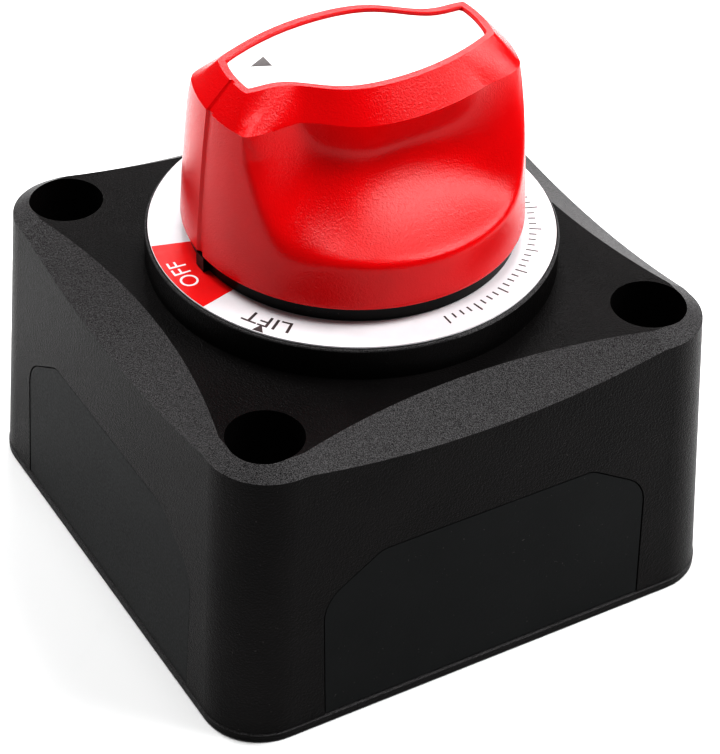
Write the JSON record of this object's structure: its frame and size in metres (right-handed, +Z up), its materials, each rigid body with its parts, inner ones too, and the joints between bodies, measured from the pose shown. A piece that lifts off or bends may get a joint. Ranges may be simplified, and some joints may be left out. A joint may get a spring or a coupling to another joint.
{
  "type": "battery switch",
  "caption": "Square surface-mount marine battery isolator switch with a lift-off turning knob, dial ring, screw wells and pull-out cable panels.",
  "frame": {"origin": "middle of the underside of the rear cover", "axes": "+Z up along the knob's axis; the OFF mark and the knob's pointer lie towards -X; -Y is the front face"},
  "size_m": [0.0692, 0.0692, 0.0682],
  "materials": {
    "case_plastic": "fine spark-eroded grain",
    "panel_plastic": "smooth satin",
    "collar_plastic": "satin",
    "knob_plastic": "satin with a fine grain",
    "label_white": "printed film",
    "dial_print": "printed film",
    "rotor_plastic": "glass-filled nylon",
    "block_plastic": "glass-filled nylon",
    "copper": "tinned copper, bright",
    "steel": "zinc plated",
    "rubber_black": "matt"
  },
  "bodies": {
    "case": {"housing": "case_plastic", "contact_block": "block_plastic", "terminal_stud_left": "copper", "flat_washer_left": "steel", "spring_washer_left": "steel", "terminal_nut_left": "steel", "terminal_stud_right": "copper", "flat_washer_right": "steel", "spring_washer_right": "steel", "terminal_nut_right": "steel", "block_screws": "steel", "dial_label": "dial_print"},
    "rotor_set": {"rotor": "rotor_plastic", "pointer_collar": "collar_plastic", "seal_ring": "rubber_black", "contact_bridge": "copper", "contact_spring_a": "steel", "contact_spring_b": "steel", "detent_spring_a": "steel", "detent_spring_b": "steel", "detent_ball_a": "steel", "detent_ball_b": "steel"},
    "knob_set": {"knob": "knob_plastic", "knob_label": "label_white"},
    "rear_cover": {"rear_cover": "case_plastic", "cover_rim": "case_plastic"},
    "panel_front": {"side_panel_front": "panel_plastic"},
    "panel_right": {"side_panel_right": "panel_plastic"},
    "panel_back": {"side_panel_back": "panel_plastic"},
    "panel_left": {"side_panel_left": "panel_plastic"}
  },
  "joints": [
    {"name": "rotor_turn", "type": "hinge", "parent": "case", "child": "rotor_set", "pos_m": [0, 0, 0.0423], "axis": [0, 0, 1], "range_deg": [-90, 34]},
    {"name": "knob_lift", "type": "slide", "parent": "rotor_set", "child": "knob_set", "axis": [0, 0, 1], "range_m": [0, 0.022]},
    {"name": "rear_cover_off", "type": "slide", "parent": "case", "child": "rear_cover", "axis": [0, 0, -1], "range_m": [0, 0.045]},
    {"name": "panel_front_out", "type": "slide", "parent": "case", "child": "panel_front", "axis": [0, -0.9988, 0.0485], "range_m": [0, 0.02]},
    {"name": "panel_right_out", "type": "slide", "parent": "case", "child": "panel_right", "axis": [0.9988, 0, 0.0485], "range_m": [0, 0.02]},
    {"name": "panel_back_out", "type": "slide", "parent": "case", "child": "panel_back", "axis": [0, 0.9988, 0.0485], "range_m": [0, 0.02]},
    {"name": "panel_left_out", "type": "slide", "parent": "case", "child": "panel_left", "axis": [-0.9988, 0, 0.0485], "range_m": [0, 0.02]}
  ]
}
